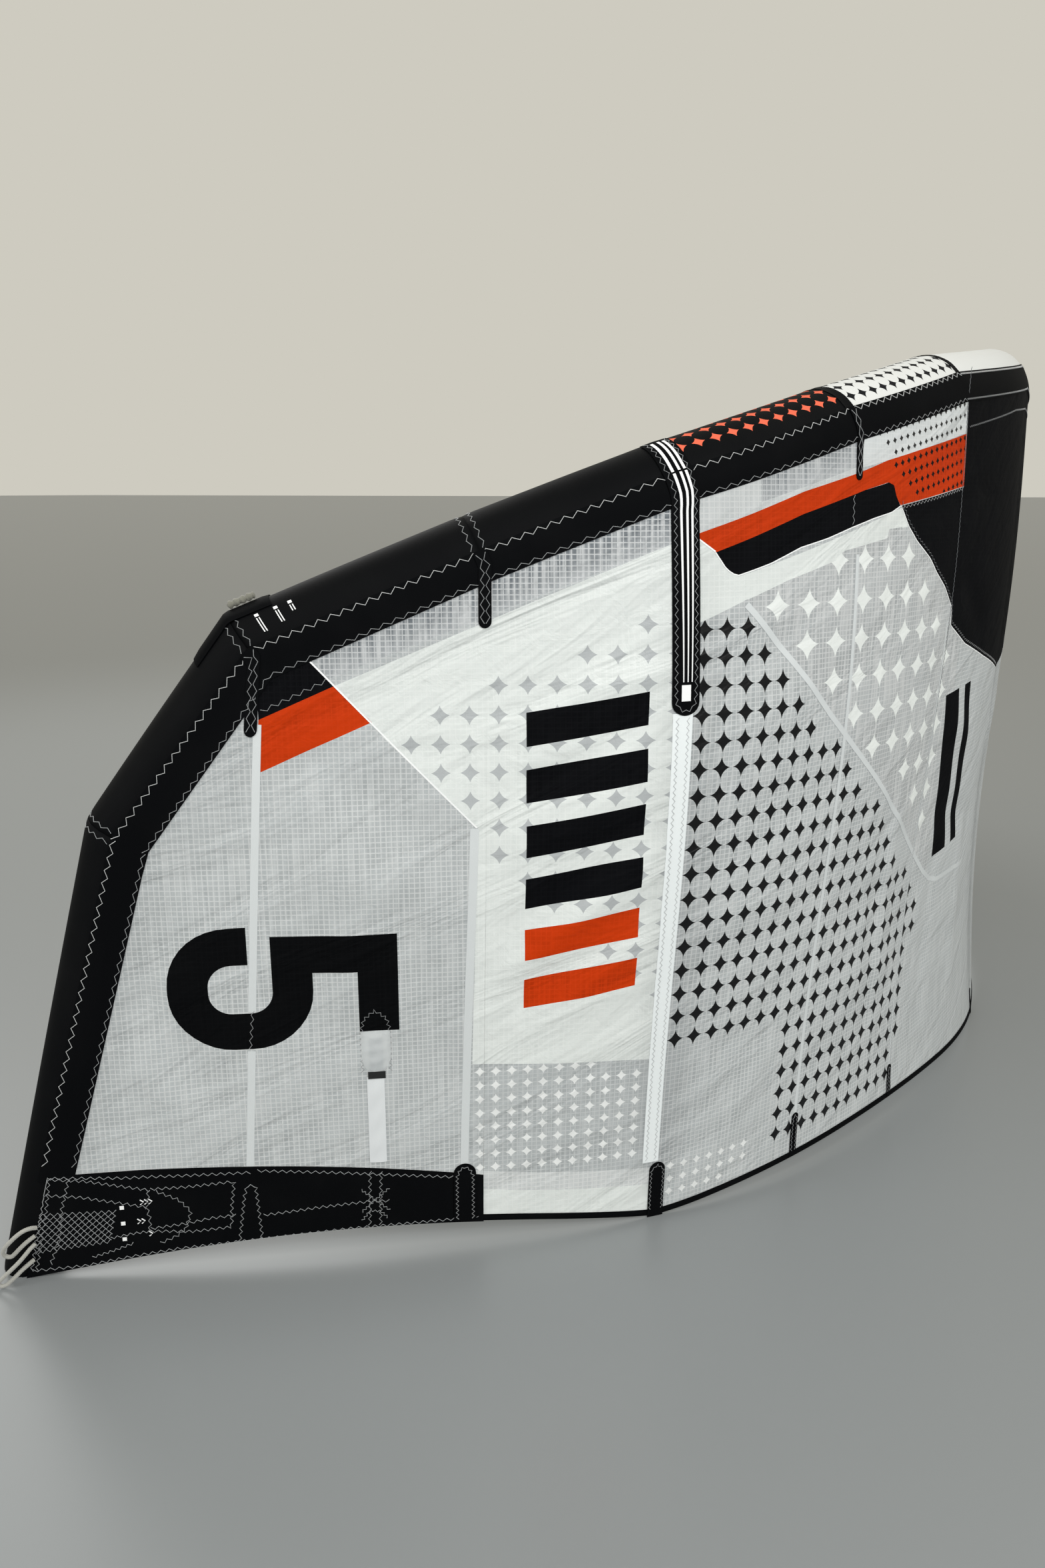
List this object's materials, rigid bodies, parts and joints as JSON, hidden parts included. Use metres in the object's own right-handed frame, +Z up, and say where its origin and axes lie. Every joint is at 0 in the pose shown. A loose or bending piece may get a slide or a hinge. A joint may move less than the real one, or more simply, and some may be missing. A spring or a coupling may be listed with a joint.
{
  "type": "kitesurfing kite",
  "caption": "Inflatable kite for kitesurfing, a curved sail on an inflated leading tube with struts, standing on its bottom edge.",
  "frame": {"origin": "middle of the kite's box on the ground, measured without the tip loops", "axes": "+X to the wing tip on the right when looking at the convex face, +Y into the hollow side, +Z up to the inflated tube"},
  "size_m": [3.1096, 1.2314, 1.3739],
  "materials": {
    "black_tube": "matte woven polyester",
    "white_tube": "matte woven polyester",
    "black_cloth": "matte heavy cloth",
    "sail_cloth": "thin coated ripstop cloth",
    "white_sail": "printed ripstop cloth",
    "tape": "smooth sail tape",
    "grey_cord": "braided cord"
  },
  "bodies": {
    "root": {"tube_tip_left": "black_tube", "tube_tip_right": "black_tube", "tube_lower_left": "black_tube", "tube_lower_right": "black_tube", "tube_middle_left": "black_tube", "tube_middle_right": "black_tube", "tube_upper_left": "black_tube", "tube_upper_right": "black_tube", "tube_starred_left": "black_tube", "tube_starred_right": "black_tube", "strut_left": "black_tube", "strut_right": "black_tube", "strut_centre": "black_tube", "tube_crown_left": "white_tube", "tube_crown_right": "white_tube", "tube_centre": "white_tube", "edge_band_left": "black_cloth", "edge_band_right": "black_cloth", "tip_band_left": "black_cloth", "tip_band_right": "black_cloth", "binding_left": "black_cloth", "binding_right": "black_cloth", "finger_tip_left": "black_cloth", "finger_tip_right": "black_cloth", "finger_wing_left": "black_cloth", "finger_wing_right": "black_cloth", "finger_crown_left": "black_cloth", "finger_crown_right": "black_cloth", "strut_band_left": "black_cloth", "strut_band_right": "black_cloth", "tab_strut_left": "black_cloth", "tab_strut_right": "black_cloth", "tab_crown_left": "black_cloth", "tab_crown_right": "black_cloth", "tab_inner_left": "black_cloth", "tab_inner_right": "black_cloth", "bridle_patch_left": "black_cloth", "bridle_patch_right": "black_cloth", "tab_middle": "black_cloth", "panel_tip_left": "sail_cloth", "panel_tip_right": "sail_cloth", "panel_wing_left": "sail_cloth", "panel_wing_right": "sail_cloth", "panel_inner_left": "sail_cloth", "panel_inner_right": "sail_cloth", "panel_crown_left": "sail_cloth", "panel_crown_right": "sail_cloth", "panel_middle_left": "sail_cloth", "panel_middle_right": "sail_cloth", "panel_strut_left": "white_sail", "panel_strut_right": "white_sail", "pocket_left": "tape", "pocket_right": "tape", "bridle_knot_left": "grey_cord", "bridle_knot_right": "grey_cord", "loop_upper_left": "grey_cord", "loop_upper_right": "grey_cord", "loop_lower_left": "grey_cord", "loop_lower_right": "grey_cord"}
  },
  "joints": []
}
